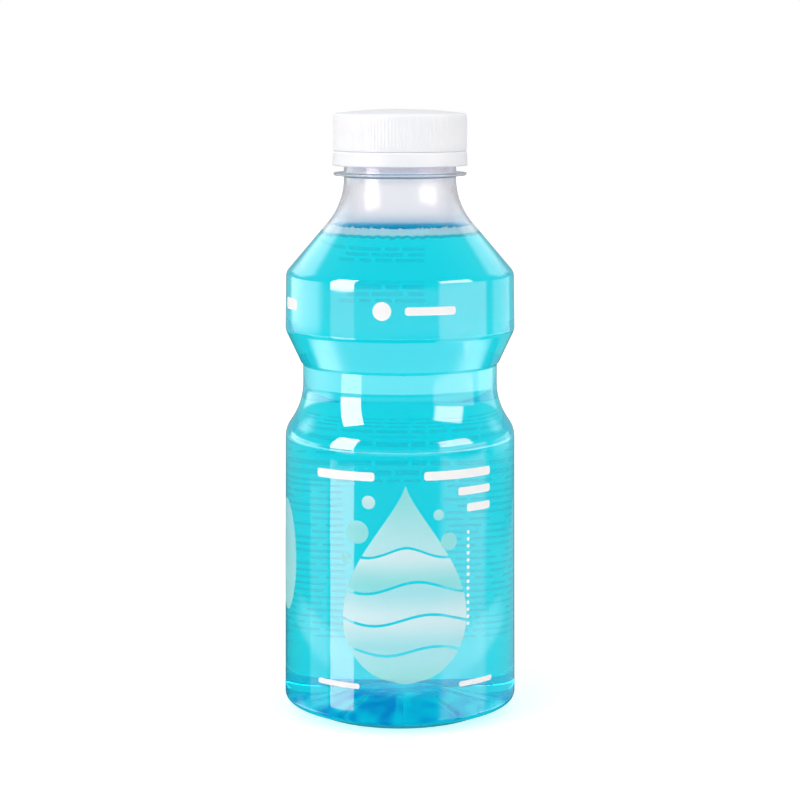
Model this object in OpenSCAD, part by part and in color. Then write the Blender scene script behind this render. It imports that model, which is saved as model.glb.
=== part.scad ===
// Mouthwash bottle: a clear blown bottle with a drum shoulder and a gripped waist, its liquid,
// two clear film labels, and a white screw cap over a tamper band.
// Millimetres, +Z up, origin at the centre of the base on the table.

/* [Lower body] */
// Diameter of the lower body just above the heel
body_d = 70.4; // [66:0.2:78]
// How much narrower the lower body is at its top corner
body_taper = 1.2; // [0:0.2:4]
// Height of the lower body from the table to its top corner
lower_body_h = 86.2; // [60:0.2:120]
// Rounding of the lower body's top corner
body_corner_r = 8.4; // [2:0.2:10]
// Wall of the blown shell
wall = 0.4; // [0.3:0.05:1]

/* [Base] */
// How far the ring that stands on the table lies inside the lower body
foot_inset = 8.2; // [5:0.1:12]
// Width of the flat on that ring
foot_w = 2.4; // [1.5:0.1:4]
// Rounding of both edges of the standing ring
foot_round = 1.6; // [0.5:0.1:2.5]
// Height of the shallow heel outside the standing ring
heel_h = 3.4; // [2:0.1:6]
// Rounding where the heel meets the side
heel_round = 2.4; // [1:0.1:4]
// Height of the push-up in the middle of the base
push_up_h = 7; // [3:0.2:12]
// Diameter of the flat crown of the push-up
push_up_d = 18; // [8:0.5:26]
// Rounding of the push-up's crown
push_up_round = 9; // [3:0.5:12]
// Number of ribs across the push-up's underside
base_ribs = 8; // [4:1:16]
// Width of one rib
base_rib_w = 1.6; // [0.8:0.1:3]
// Height of one rib
base_rib_h = 0.7; // [0.4:0.1:1.5]
// Diameter of the gate mark in the middle of the base
gate_d = 3.6; // [2:0.2:6]

/* [Waist] */
// How deep the waist is drawn in from the lower body
waist_depth = 6; // [3:0.1:9]
// Height over which the body draws in to the waist
waist_flare_h = 8; // [5:0.2:14]
// Rounding of the hollow where the waist begins
waist_round = 20; // [6:0.5:24]
// Height of the waist up to its crease
waist_h = 11.6; // [8:0.2:24]
// How far the crease steps out at the top of the waist
crease_step = 0.6; // [0.3:0.05:1.2]
// Height of that step
crease_h = 0.6; // [0.4:0.05:1.2]
// Rounding of the crease's edges
crease_round = 0.5; // [0.2:0.05:1]

/* [Drum] */
// Height over which the bottle widens from the crease to the drum
drum_flare_h = 9.8; // [6:0.2:16]
// How far the drum's lower corner lies inside the lower body
drum_inset = 0.8; // [0:0.1:3]
// How much narrower the drum is at its upper corner
drum_taper = 0.6; // [0:0.1:3]
// Height of the drum
drum_h = 17.2; // [12:0.2:30]
// Rounding of the drum's lower corner
drum_low_round = 3.6; // [1:0.2:6]
// Rounding of the drum's upper corner
drum_top_round = 3.4; // [1:0.2:6]

/* [Shoulder and neck] */
// Height of the shoulder's cone
shoulder_h = 20.4; // [14:0.2:30]
// Rounding of the hollow between the cone and the neck
shoulder_round = 25; // [8:0.5:28]
// Outside diameter of the neck
neck_d = 33.4; // [30:0.1:38]
// Wall of the neck
neck_wall = 1.6; // [1.2:0.05:2.2]
// Height of the plain neck below the support ring
neck_h = 8.3; // [5:0.1:14]
// How far the support ring stands out of the neck
ring_out = 3.1; // [2.4:0.1:5]
// Thickness of the support ring at its edge
ring_t = 0.8; // [0.6:0.05:1.6]
// Extra thickness of the support ring where it meets the neck
ring_root = 0.5; // [0.2:0.05:1]
// Height of the threaded neck above the support ring
finish_h = 14.5; // [12.5:0.1:18]
// Rounding of the mouth's outer edge
rim_round = 0.6; // [0.2:0.05:0.8]

/* [Thread] */
// Number of thread starts
starts = 3; // [2:1:3]
// Rise of the cap in one whole turn
lead = 9.6; // [9:0.1:12]
// Height of a thread ridge off its wall
thread_h = 1.1; // [0.8:0.05:1.3]
// Width of a ridge at its root
thread_root_w = 1.6; // [1.2:0.05:1.8]
// Width of a ridge at its crest
thread_crest_w = 0.8; // [0.5:0.05:1]
// Turn that one ridge covers, in degrees
thread_turn = 110; // [80:5:115]
// Turn from the right-hand side to where the first ridge begins, in degrees
thread_from = 5; // [2:1:5]
// Gap between the crest of a ridge and the wall that it faces
thread_gap = 0.45; // [0.35:0.05:0.7]
// Gap under the loaded side of a ridge
thread_play = 0.3; // [0.2:0.05:0.5]
// Height of the cap's lowest ridge above the cap's lower edge
thread_start_h = 0.2; // [0.1:0.1:1]

/* [Tamper bead and band] */
// How far the neck's tamper bead stands out
bead_out = 1.1; // [0.8:0.05:1.4]
// Height of the tamper bead
bead_h = 1.2; // [0.8:0.1:1.6]
// How far the band can drop before it lies on the support ring
band_drop = 1.8; // [1:0.1:2.5]
// Gap that is left between the dropped band and the ring
band_rest_gap = 0.3; // [0.2:0.05:0.5]
// Height of the tamper band
band_h = 4; // [3.2:0.1:6]
// How far the band's lower edge flares out
band_flare = 0.2; // [0:0.05:0.5]
// Thickness of the flaps that catch under the bead
flap_t = 0.5; // [0.3:0.05:0.7]
// Gap between the flaps and the bead above them
flap_gap = 0.3; // [0.2:0.05:0.5]
// Width of the seam between the cap and the band
seam = 0.4; // [0.3:0.05:0.6]
// Number of broken bridges on the band's upper edge
bridges = 12; // [6:1:18]
// Width of one bridge
bridge_w = 0.8; // [0.4:0.1:1.4]
// Share of the seam that a bridge's stub fills
bridge_share = 0.6; // [0.3:0.05:0.7]

/* [Cap] */
// Wall of the cap's skirt under its ribs
cap_wall = 1.35; // [1:0.05:2.2]
// Thickness of the cap's top plate at its edge
plate_t = 1.4; // [1:0.1:2.4]
// Height of the crowned middle of the cap above its edge
crown_h = 1.3; // [0.4:0.1:2.4]
// Rounding of the cap's upper edge
cap_edge_round = 1; // [0.4:0.1:1.3]
// Number of fine ribs round the cap
knurls = 120; // [60:2:140]
// Depth of the grooves between the ribs
knurl_depth = 0.3; // [0.15:0.05:0.5]
// Height of the plain land below the ribs
knurl_land = 0.7; // [0.3:0.1:2]
// How far the bead that holds the liner stands out of the cap's wall
liner_bead = 0.75; // [0.6:0.05:1]

/* [Cap liner] */
// Thickness of the liner disc
liner_t = 0.9; // [0.6:0.1:1.6]
// Gap between the liner and the cap, above and below and at its edge
liner_play = 0.3; // [0.2:0.05:0.4]
// Gap between the liner and the mouth's rim
seal_gap = 0.3; // [0.1:0.05:0.4]

/* [Liquid] */
// How far the liquid's surface lies below the foot of the neck
fill_drop = 7.8; // [4:0.2:18]

/* [Labels] */
// Thickness of the label film
film_t = 0.1; // [0.05:0.05:0.3]
// Height of the plain wall between the heel and the body label
body_label_low = 8.6; // [4:0.2:20]
// Height of the plain wall between the body label and the body's top corner
body_label_top = 5.2; // [4:0.2:20]
// Height of the plain wall on each side of the drum label
drum_label_gap = 2.6; // [2.2:0.1:5]
// Width of the open seam in each label
label_seam = 1.2; // [0.5:0.1:4]
// Direction of that seam, in degrees from the right-hand side
label_seam_turn = 135; // [95:5:175]

/* [Hidden] */

$fn = 160;
// Steps in each rounded corner of an outline
arc_steps = 8;
// Steps in the crown's curve
crown_steps = 6;
// Degrees between two sections of a thread ridge
ridge_step = 10;
// Turn over which a ridge's end sinks into its wall, in degrees
ridge_fade = 20;
// Length that cuts and joined solids run past each other
overrun = 0.2;
// Where a fine rib's foot and top begin, as shares of the ribs' spacing
rib_foot_share = 0.12;
rib_top_share = 0.36;

// Heights, from the table up
waist_z = lower_body_h + waist_flare_h;
crease_z = waist_z + waist_h;
drum_z = crease_z + crease_h + drum_flare_h;
drum_top_z = drum_z + drum_h;
shoulder_z = drum_top_z + shoulder_h;
ring_z = shoulder_z + neck_h;
finish_z = ring_z + ring_t;
rim_z = finish_z + finish_h;
band_z = finish_z + band_rest_gap + band_drop;
band_top_z = band_z + band_h;
skirt_z = band_top_z + seam;
liner_z = rim_z + seal_gap;
plate_z = liner_z + liner_t + liner_play;
cap_edge_z = plate_z + plate_t;
cap_top_z = cap_edge_z + crown_h;
fill_z = shoulder_z - fill_drop;

// Radii
body_r = body_d / 2;
body_top_r = body_r - body_taper / 2;
waist_r = body_r - waist_depth;
drum_r = body_r - drum_inset;
drum_top_r = drum_r - drum_taper / 2;
foot_r = body_r - foot_inset;
neck_r = neck_d / 2;
ring_r = neck_r + ring_out;
cap_bore_r = neck_r + thread_h + thread_gap;
cap_root_r = cap_bore_r + cap_wall;
cap_r = cap_root_r + knurl_depth;
bead_r = neck_r + bead_out;
flap_r = neck_r + thread_gap;
liner_r = cap_bore_r - liner_play;

// Threads: the spacing of neighbouring ridges, the width of a ridge where the two threads
// overlap, and how far the cap's ridges lie below the neck's
overlap_share = (thread_h - thread_gap) / (2 * thread_h);
mesh_w = thread_crest_w + (thread_root_w - thread_crest_w) * overlap_share;
thread_drop = mesh_w + thread_play;
thread_z = skirt_z + thread_start_h + thread_root_w / 2 + thread_drop;
bead_z = band_z + band_h / 2;

// Outline of the shell from the middle of the base to the mouth, as corners: radius, height, rounding
shell = [
    [0, push_up_h, 0],
    [push_up_d / 2, push_up_h, push_up_round],
    [foot_r - foot_w, 0, foot_round],
    [foot_r, 0, foot_round],
    [body_r, heel_h, heel_round],
    [body_top_r, lower_body_h, body_corner_r],
    [waist_r, waist_z, waist_round],
    [waist_r, crease_z, crease_round],
    [waist_r + crease_step, crease_z + crease_h, crease_round],
    [drum_r, drum_z, drum_low_round],
    [drum_top_r, drum_top_z, drum_top_round],
    [neck_r, shoulder_z, shoulder_round],
    [neck_r, rim_z, rim_round],
    [0, rim_z, 0],
];
// Thickness of the shell along each stretch between two corners
mouth = len(shell) - 2;
shell_walls = [for (i = [0:mouth]) i == mouth ? -overrun : i == mouth - 1 ? neck_wall : wall];

// Geometry of outlines in the plane of radius and height
function flat(p) = [p[0], p[1]];
function unit(v) = v / norm(v);
function left_of(v) = [-v[1], v[0]];
function cross2(a, b) = a[0] * b[1] - a[1] * b[0];
function turned(v, a) = [v[0] * cos(a) - v[1] * sin(a), v[0] * sin(a) + v[1] * cos(a)];
// Point where the line from a along u meets the line from b along v
function meet(a, u, b, v) = a + u * cross2(b - a, v) / cross2(u, v);

// Length from corner i to the start of its rounding, before and after neighbours limit it
function bend(c, i) =
    let(u = unit(flat(c[i - 1]) - flat(c[i])), v = unit(flat(c[i + 1]) - flat(c[i])))
    180 - acos(max(-1, min(1, u * v)));
function wanted(c, i) = i == 0 || i == len(c) - 1 ? 0 : c[i][2] * tan(bend(c, i) / 2);
function room(c, i, j) =
    let(sum = wanted(c, i) + wanted(c, j), span = norm(flat(c[j]) - flat(c[i])))
    sum > span ? span / sum : 1;
function rounding(c, i) = c[i][2] * min(room(c, i - 1, i), room(c, i, i + 1));

// Points of corner i, as an arc of the wanted rounding
function corner_points(c, i) =
    i == 0 || i == len(c) - 1 || c[i][2] == 0 ? [flat(c[i])] :
    let(
        p = flat(c[i]),
        u = unit(flat(c[i - 1]) - p),
        v = unit(flat(c[i + 1]) - p),
        r = rounding(c, i),
        a = bend(c, i),
        t = r * tan(a / 2),
        way = cross2(u, v) < 0 ? 1 : -1,
        hub = p + u * t + left_of(u) * (-way) * r
    )
    [for (k = [0:arc_steps]) hub + turned(p + u * t - hub, way * a * k / arc_steps)];
function rounded(c) = [for (i = [0:len(c) - 1]) each corner_points(c, i)];

// The same outline moved inwards by the wall of each stretch
function inner_corner(c, w, i) =
    let(
        a = flat(c[i - 1]),
        p = flat(c[i]),
        q = flat(c[i + 1]),
        u = unit(p - a),
        v = unit(q - p),
        hit = meet(a + left_of(u) * w[i - 1], u, p + left_of(v) * w[i], v),
        hollow = cross2(u, v) < 0
    )
    [hit[0], hit[1], c[i][2] == 0 ? 0 : max(overrun, c[i][2] + (hollow ? w[i - 1] : -w[i - 1]))];
function inner(c, w) = concat(
    [[0, c[0][1] + w[0], 0]],
    [for (i = [1:len(c) - 2]) inner_corner(c, w, i)],
    [[0, c[len(c) - 1][1] + overrun, 0]]
);

// Radius of the lower body and of the drum at a height
function between(z, z0, r0, z1, r1) = r0 + (r1 - r0) * (z - z0) / (z1 - z0);
function body_at(z) = between(z, heel_h, body_r, lower_body_h, body_top_r);
function drum_at(z) = between(z, drum_z, drum_r, drum_top_z, drum_top_r);

// Space inside the shell, up to a little above the mouth
module inside() {
    rotate_extrude() polygon(rounded(inner(shell, shell_walls)));
}

// One thread ridge that climbs round the axis; its ends sink into the wall at base_r
module ridge(wall_r, out, z) {
    way = out > 0 ? 1 : -1;
    base_r = wall_r - way * overrun;
    hidden_r = wall_r - way * overrun / 2;
    crest_r = wall_r + out;
    steps = round(thread_turn / ridge_step);
    sections = [for (k = [0:steps])
        let(
            a = thread_turn * k / steps,
            fade = min(1, a / ridge_fade, (thread_turn - a) / ridge_fade),
            top_r = hidden_r + (crest_r - hidden_r) * fade,
            h = z + lead * a / 360,
            spin = [cos(a), sin(a)]
        )
        [for (p = [
            [base_r, -thread_root_w / 2],
            [top_r, -thread_crest_w / 2],
            [top_r, thread_crest_w / 2],
            [base_r, thread_root_w / 2]
        ]) [p[0] * spin[0], p[0] * spin[1], h + p[1]]]
    ];
    sides = [for (k = [0:steps - 1], j = [0:3])
        let(a = 4 * k + j, b = 4 * k + (j + 1) % 4, c = a + 4, d = b + 4)
        each [[a, c, d], [a, d, b]]
    ];
    last = 4 * steps;
    ends = [[0, 1, 2], [0, 2, 3], [last, last + 2, last + 1], [last, last + 3, last + 2]];
    faces = concat(sides, ends);
    polyhedron(
        points = [for (s = sections) each s],
        faces = out < 0 ? faces : [for (f = faces) [f[2], f[1], f[0]]],
        convexity = 4
    );
}

module ridges(wall_r, out, z) {
    for (i = [0:starts - 1]) rotate(thread_from + i * 360 / starts) ridge(wall_r, out, z);
}

// Support ring below the tamper band, thicker at its root
module support_ring() {
    rotate_extrude() polygon([
        [neck_r - overrun, ring_z - ring_root],
        [neck_r, ring_z - ring_root],
        [neck_r + ring_root, ring_z],
        [ring_r - ring_t / 4, ring_z],
        [ring_r, ring_z + ring_t / 4],
        [ring_r, finish_z - ring_t / 4],
        [ring_r - ring_t / 4, finish_z],
        [neck_r - overrun, finish_z]
    ]);
}

// Bead that the band's flaps catch under, sloped above so that a new cap rides over it
module tamper_bead() {
    rotate_extrude() polygon([
        [neck_r - overrun, bead_z],
        [bead_r, bead_z],
        [bead_r, bead_z + bead_h / 3],
        [neck_r, bead_z + bead_h],
        [neck_r - overrun, bead_z + bead_h]
    ]);
}

// Ribs across the underside of the push-up, and the gate mark in its middle
module base_relief() {
    crown_z = push_up_h + wall / 2;
    foot_in_r = foot_r - foot_w;
    intersection() {
        rotate_extrude() polygon(rounded([
            [0, push_up_h - base_rib_h, 0],
            [push_up_d / 2, push_up_h - base_rib_h, push_up_round],
            [foot_in_r - foot_round, 0, 0],
            [foot_in_r, 0, 0],
            [foot_in_r, crown_z, 0],
            [0, crown_z, 0]
        ]));
        union() {
            for (i = [0:base_ribs - 1]) rotate(i * 360 / base_ribs)
                translate([gate_d, -base_rib_w / 2, 0])
                    cube([foot_in_r - foot_round - gate_d, base_rib_w, crown_z]);
            cylinder(d = gate_d, h = crown_z);
        }
    }
}

module bottle() {
    color([0.86, 0.93, 0.97, 0.45]) difference() {
        union() {
            rotate_extrude() polygon(rounded(shell));
            base_relief();
            support_ring();
            tamper_bead();
            ridges(neck_r, thread_h, thread_z);
        }
        inside();
    }
}

module mouthwash() {
    color([0.18, 0.84, 0.9, 0.8]) intersection() {
        inside();
        cylinder(r = body_r, h = fill_z);
    }
}

// Clear film round a straight stretch of wall, open by a narrow seam at the back
module film(r0, z0, r1, z1) {
    difference() {
        rotate_extrude() polygon([
            [r0, z0],
            [r0 + film_t, z0],
            [r1 + film_t, z1],
            [r1, z1]
        ]);
        rotate(label_seam_turn) translate([0, -label_seam / 2, z0 - overrun])
            cube([body_r + film_t + overrun, label_seam, z1 - z0 + 2 * overrun]);
    }
}

module body_label() {
    z0 = heel_h + body_label_low;
    z1 = lower_body_h - body_label_top;
    color([0.75, 0.95, 0.93, 0.5]) film(body_at(z0), z0, body_at(z1), z1);
}

module drum_label() {
    z0 = drum_z + drum_label_gap;
    z1 = drum_top_z - drum_label_gap;
    color([0.9, 0.97, 0.98, 0.5]) film(drum_at(z0), z0, drum_at(z1), z1);
}

// Lower ring of the closure, with the flap that is folded up inside it
module tamper_band() {
    low_r = cap_r + band_flare;
    color([0.96, 0.97, 0.99]) union() {
        rotate_extrude() polygon([
            [cap_bore_r, band_z],
            [low_r - flap_t / 2, band_z],
            [low_r, band_z + flap_t / 2],
            [cap_r, band_top_z],
            [cap_bore_r, band_top_z]
        ]);
        rotate_extrude() polygon([
            [cap_bore_r + overrun, band_z],
            [cap_bore_r + overrun, band_z + flap_t],
            [flap_r + flap_t, bead_z - flap_gap],
            [flap_r, bead_z - flap_gap],
            [flap_r, bead_z - flap_gap - flap_t],
            [cap_bore_r - flap_t, band_z]
        ]);
        for (i = [0:bridges - 1]) rotate(i * 360 / bridges)
            translate([cap_bore_r, -bridge_w / 2, band_top_z - overrun])
                cube([cap_root_r - cap_bore_r, bridge_w, overrun + seam * bridge_share]);
    }
}

module cap_liner() {
    color([0.9, 0.93, 0.95]) translate([0, 0, liner_z]) cylinder(r = liner_r, h = liner_t);
}

// Crown of the cap: a shallow bow from the middle to the edge
function crown(r) = [for (k = [0:crown_steps - 1])
    [r * k / crown_steps, cap_top_z - crown_h * pow(k / crown_steps, 2), 0]];

// Outline of the cap, solid up to the radius r
function cap_outline(r) =
    rounded(concat(crown(r), [[r, cap_edge_z, cap_edge_round], [r, skirt_z, 0], [0, skirt_z, 0]]));

// Fine ribs that stand out of the cap's wall; their roots run a little into it
module knurl_ring() {
    pitch = 360 / knurls;
    sunk_r = cap_root_r - overrun;
    profile = [
        [0, sunk_r],
        [rib_foot_share, sunk_r],
        [rib_top_share, cap_r],
        [1 - rib_top_share, cap_r],
        [1 - rib_foot_share, sunk_r]
    ];
    translate([0, 0, skirt_z + knurl_land])
        linear_extrude(height = cap_edge_z - cap_edge_round - skirt_z - knurl_land)
            difference() {
                polygon([for (i = [0:knurls - 1], q = profile)
                    q[1] * [cos((i + q[0]) * pitch), sin((i + q[0]) * pitch)]]);
                circle(r = sunk_r - overrun);
            }
}

module screw_cap() {
    bead_z0 = liner_z - liner_play;
    color([0.97, 0.98, 1]) union() {
        difference() {
            rotate_extrude() polygon(cap_outline(cap_root_r));
            translate([0, 0, skirt_z - overrun]) cylinder(r = cap_bore_r, h = plate_z - skirt_z + overrun);
        }
        knurl_ring();
        rotate_extrude() polygon([
            [cap_bore_r + overrun, bead_z0],
            [cap_bore_r - liner_bead, bead_z0],
            [cap_bore_r, bead_z0 - liner_bead],
            [cap_bore_r + overrun, bead_z0 - liner_bead]
        ]);
        ridges(cap_bore_r, -thread_h, thread_z - thread_drop);
    }
}

bottle();
mouthwash();
body_label();
drum_label();
tamper_band();
cap_liner();
screw_cap();
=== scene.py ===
import math
import random

import bmesh
import bpy
from mathutils import Matrix, Vector


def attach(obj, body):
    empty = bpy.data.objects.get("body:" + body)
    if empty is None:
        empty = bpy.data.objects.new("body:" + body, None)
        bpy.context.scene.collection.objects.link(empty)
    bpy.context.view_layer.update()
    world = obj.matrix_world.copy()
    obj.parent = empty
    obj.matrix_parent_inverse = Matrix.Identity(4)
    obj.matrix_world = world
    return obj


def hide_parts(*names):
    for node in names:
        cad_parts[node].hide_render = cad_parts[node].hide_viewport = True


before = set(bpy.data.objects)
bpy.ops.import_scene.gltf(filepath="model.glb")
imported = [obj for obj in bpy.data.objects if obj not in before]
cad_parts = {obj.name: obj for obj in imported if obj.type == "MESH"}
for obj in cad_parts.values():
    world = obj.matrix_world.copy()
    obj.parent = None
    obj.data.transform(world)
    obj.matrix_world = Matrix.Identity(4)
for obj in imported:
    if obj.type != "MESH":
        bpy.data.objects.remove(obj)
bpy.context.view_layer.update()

# A clear bottle of blue-green mouthwash with a white screw cap, on a white table.
# The bottle's sizes are in millimetres, as in the part's own source, and become metres in each mesh.
# The stage, its lights and the camera are in metres.

MM = 0.001
FULL = math.tau
MERGE = 1e-4                                  # points nearer than this become one

# Shell, from the middle of the base to the mouth: radius, height, rounding
WALL = 0.4
NECK_WALL = 1.6
PUSH_UP = (9, 7)
STAND_R = 24.6
HEEL = (35.2, 3.4)
BODY_TOP = (34.6, 86.2)
WAIST_R = 29.2
DRUM_LOW = (34.4, 116.2)
DRUM_TOP = (34.1, 133.4)
NECK_R = 16.7
SHOULDER_Z = 153.8
RIM_Z = 177.4
OUTSIDE = [
    (0, PUSH_UP[1], 0), (*PUSH_UP, 9), (STAND_R, 0, 1.6), (27, 0, 1.6), (*HEEL, 2.4), (*BODY_TOP, 8.4),
    (WAIST_R, 94.2, 20), (WAIST_R, 105.8, 0.5), (29.8, 106.4, 0.5), (*DRUM_LOW, 3.6), (*DRUM_TOP, 3.4),
    (NECK_R, SHOULDER_Z, 25), (NECK_R, RIM_Z, 0.6), (NECK_R - NECK_WALL, RIM_Z, 0),
]
DRUM_END, NECK_FOOT = 10, 11                  # the shoulder runs between these two corners

# Base, with ribs pressed down under the push-up, and where the finishes of base and neck begin
RIBS = 8
RIB_DEPTH = 0.7
RIB_HALF_WIDTH = 1.0
RIB_ENDS = (3.0, 23.4)
BASE_TOP = 8
BASE_R = 26
NECK_FINISH_Z = 148

# Liquid: its line, its climb up the wall, and how far it runs into the wall
FILL_Z = 146.8
CLIMB = 1.0
CLIMB_WIDTH = 2.4
SOAK = 0.2

# Neck finish and closure; ring, bead and band run from one height to another
RING = (162.1, 162.9)
RING_R = 19.8
BEAD = (167.0, 168.2)
BEAD_R = 17.8
BAND = (165.0, 169.32)
FLAP = (166.2, 166.7)
FLAP_R = 17.15
BRIDGES = 12
SKIRT_Z = 169.4
PLATE_Z = 178.9
CAP_EDGE_Z = 180.3
CAP_TOP_Z = 181.6
CAP_BORE_R = 18.25
CAP_R = 19.9
LINER_LIP = 0.75
KNURLS = 120
KNURL_DEPTH = 0.12
THREADS = 3
THREAD_DEPTH = 1.1
THREAD_TURN = 110.0
LEAD = 9.6
NECK_THREAD_Z = 171.74
CAP_THREAD_Z = 170.4

# Labels: heights of the films, how far film and print stand off the wall, and lengths of the print's dashes
BODY_FILM = (12.0, 81.0)
DRUM_FILM = (118.8, 130.8)
FILM_SEAM = 1.2
FILM_SEAM_ANGLE = math.radians(225)
FILM_LIFT = 0.03
WAVE_LIFT = 0.05
DRUM_LIFT = 0.06
BUBBLE_LIFT = 0.07
BAR_LIFT = 0.085
DASH = (1.6, 5.5)
DASH_GAP = (0.4, 0.9)


# Bench work: outlines, turning, shapes that lie on the wall


def new_piece(name, mesh, materials, body, smooth=True, replaces=None):
    """A finished piece from a bmesh in millimetres."""
    bmesh.ops.scale(mesh, vec=(MM, MM, MM), verts=mesh.verts)
    data = bpy.data.meshes.new(name)
    mesh.to_mesh(data)
    mesh.free()
    for face in data.polygons:
        face.use_smooth = smooth
    for material in materials if isinstance(materials, tuple) else (materials,):
        data.materials.append(material)
    piece = bpy.data.objects.new(name, data)
    bpy.context.scene.collection.objects.link(piece)
    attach(piece, body)
    if replaces:
        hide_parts(replaces)


def stamp(mesh, small):
    """Adds a small finished shape to a larger mesh."""
    data = bpy.data.meshes.new("stamp")
    small.to_mesh(data)
    small.free()
    mesh.from_mesh(data)
    bpy.data.meshes.remove(data)


def tangent(corners, i):
    """Wanted length from corner i to the start of its rounding, and how far the outline turns there."""
    if i in (0, len(corners) - 1) or corners[i][2] == 0:
        return 0.0, 0.0
    before, here, after = (Vector(corners[j][:2]) for j in (i - 1, i, i + 1))
    turn = (here - before).angle(after - here)
    return corners[i][2] * math.tan(turn / 2), turn


def room(corners, i, j):
    """Share of their wanted roundings that two neighbouring corners have room for."""
    wanted = tangent(corners, i)[0] + tangent(corners, j)[0]
    span = (Vector(corners[j][:2]) - Vector(corners[i][:2])).length
    return min(1.0, span / wanted) if wanted else 1.0


def draw_outline(mesh, corners, arc_steps, longest):
    """A wire in the plane of radius and height, with a true arc at each rounded corner."""
    last = mesh.verts.new((corners[0][0], 0, corners[0][1]))
    for i in range(1, len(corners)):
        here = Vector((corners[i][0], 0, corners[i][1]))
        length, turn = tangent(corners, i)
        if length == 0:
            after = mesh.verts.new(here)
            mesh.edges.new((last, after))
            last = after
            continue
        length *= min(room(corners, i - 1, i), room(corners, i, i + 1))
        back = (Vector((corners[i - 1][0], 0, corners[i - 1][1])) - here).normalized()
        on = (Vector((corners[i + 1][0], 0, corners[i + 1][1])) - here).normalized()
        start = mesh.verts.new(here + back * length)
        mesh.edges.new((last, start))
        hub = here + (back + on).normalized() * math.hypot(length, length / math.tan(turn / 2))
        axis = (start.co - hub).cross(here + on * length - hub).normalized()
        arc = bmesh.ops.spin(mesh, geom=[start], cent=hub, axis=axis, angle=turn, steps=arc_steps,
                             use_merge=False, use_duplicate=False)
        last = next(v for v in arc["geom_last"] if isinstance(v, bmesh.types.BMVert))
    long_edges = [e for e in mesh.edges if e.calc_length() > longest]
    for edge in long_edges:
        bmesh.ops.subdivide_edges(mesh, edges=[edge], cuts=int(edge.calc_length() / longest))


def turned(corners, arc_steps=13, longest=3.0, steps=168, sectors=12):
    """An outline turned about the bottle's axis: one sector is spun and then repeated all the way round."""
    mesh = bmesh.new()
    draw_outline(mesh, corners, arc_steps, longest)
    bmesh.ops.remove_doubles(mesh, verts=mesh.verts, dist=MERGE / 10)
    bmesh.ops.spin(mesh, geom=mesh.verts[:] + mesh.edges[:], cent=(0, 0, 0), axis=(0, 0, 1),
                   angle=FULL / sectors, steps=steps // sectors, use_merge=False, use_duplicate=False)
    sector = bpy.data.meshes.new("sector")
    mesh.to_mesh(sector)
    for k in range(1, sectors):
        sector.transform(Matrix.Rotation(FULL / sectors, 4, "Z"))
        mesh.from_mesh(sector)
    bpy.data.meshes.remove(sector)
    bmesh.ops.remove_doubles(mesh, verts=mesh.verts, dist=MERGE)
    bmesh.ops.recalc_face_normals(mesh, faces=mesh.faces)
    return mesh


def meet(a, u, b, v):
    """Where the line from a along u meets the line from b along v."""
    return a + u * ((b - a).cross(v) / u.cross(v))


def moved_in(corners, walls):
    """The outline moved inwards by the wall of each stretch."""
    inner = [(0, corners[0][1] + walls[0], 0)]
    for i in range(1, len(corners) - 1):
        a, p, q = (Vector(corners[j][:2]) for j in (i - 1, i, i + 1))
        u, v = (p - a).normalized(), (q - p).normalized()
        hit = meet(a + Vector((-u.y, u.x)) * walls[i - 1], u, p + Vector((-v.y, v.x)) * walls[i], v)
        hollow = u.cross(v) < 0
        rounding = corners[i][2] and max(0.2, corners[i][2] + (walls[i - 1] if hollow else -walls[i - 1]))
        inner.append((hit.x, hit.y, rounding))
    return inner


def thicknesses(less=0.0):
    """The wall of each stretch of the outline, thin up to the neck's foot."""
    return [WALL - less] * NECK_FOOT + [NECK_WALL - less] * (len(OUTSIDE) - 1 - NECK_FOOT)


def radius_between(low, high, z):
    """Radius at a height on the straight stretch between two corners."""
    return low[0] + (high[0] - low[0]) * (z - low[1]) / (high[1] - low[1])


def body_r(z):
    return radius_between(HEEL, BODY_TOP, z)


def drum_r(z):
    return radius_between(DRUM_LOW, DRUM_TOP, z)


def shoulder_r(outline, z):
    return radius_between(outline[DRUM_END], outline[NECK_FOOT], z)


def move_out(v, r, new_r):
    """Moves a point of a turned shape from one radius to another."""
    v.co.x, v.co.y = v.co.x * new_r / r, v.co.y * new_r / r


def wrap(mesh, radius, lift):
    """Bends a flat shape round the wall: X is the way round from the front, Z the height."""
    for v in mesh.verts:
        r = radius(v.co.z)
        angle = v.co.x / r
        v.co = ((r + lift) * math.sin(angle), -(r + lift) * math.cos(angle), v.co.z)


def stand_up(mesh, verts, width, height, middle_x, middle_z):
    """Stands a unit grid up in the plane of X and Z, at its size and place."""
    bmesh.ops.rotate(mesh, verts=verts, cent=(0, 0, 0), matrix=Matrix.Rotation(math.pi / 2, 3, "X"))
    bmesh.ops.scale(mesh, verts=verts, vec=(width, 1, height))
    bmesh.ops.translate(mesh, verts=verts, vec=(middle_x, 0, middle_z))


def flat_bar(mesh, x0, x1, z0, z1, rounding, step=0.8):
    """A rounded bar, cut often enough along X to follow the wall."""
    bar = bmesh.new()
    made = bmesh.ops.create_grid(bar, x_segments=1, y_segments=1, size=0.5)["verts"]
    stand_up(bar, made, x1 - x0, z1 - z0, (x0 + x1) / 2, (z0 + z1) / 2)
    rounding = min(rounding, (x1 - x0) * 0.49, (z1 - z0) * 0.49)
    bmesh.ops.bevel(bar, geom=bar.verts[:], offset=rounding, offset_type="OFFSET", segments=4,
                    profile=0.5, affect="VERTICES", material=-1)
    x = x0 + step
    while x < x1 - step * 0.3:
        bmesh.ops.bisect_plane(bar, geom=bar.verts[:] + bar.edges[:] + bar.faces[:],
                               plane_co=(x, 0, 0), plane_no=(1, 0, 0))
        x += step
    stamp(mesh, bar)


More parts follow.
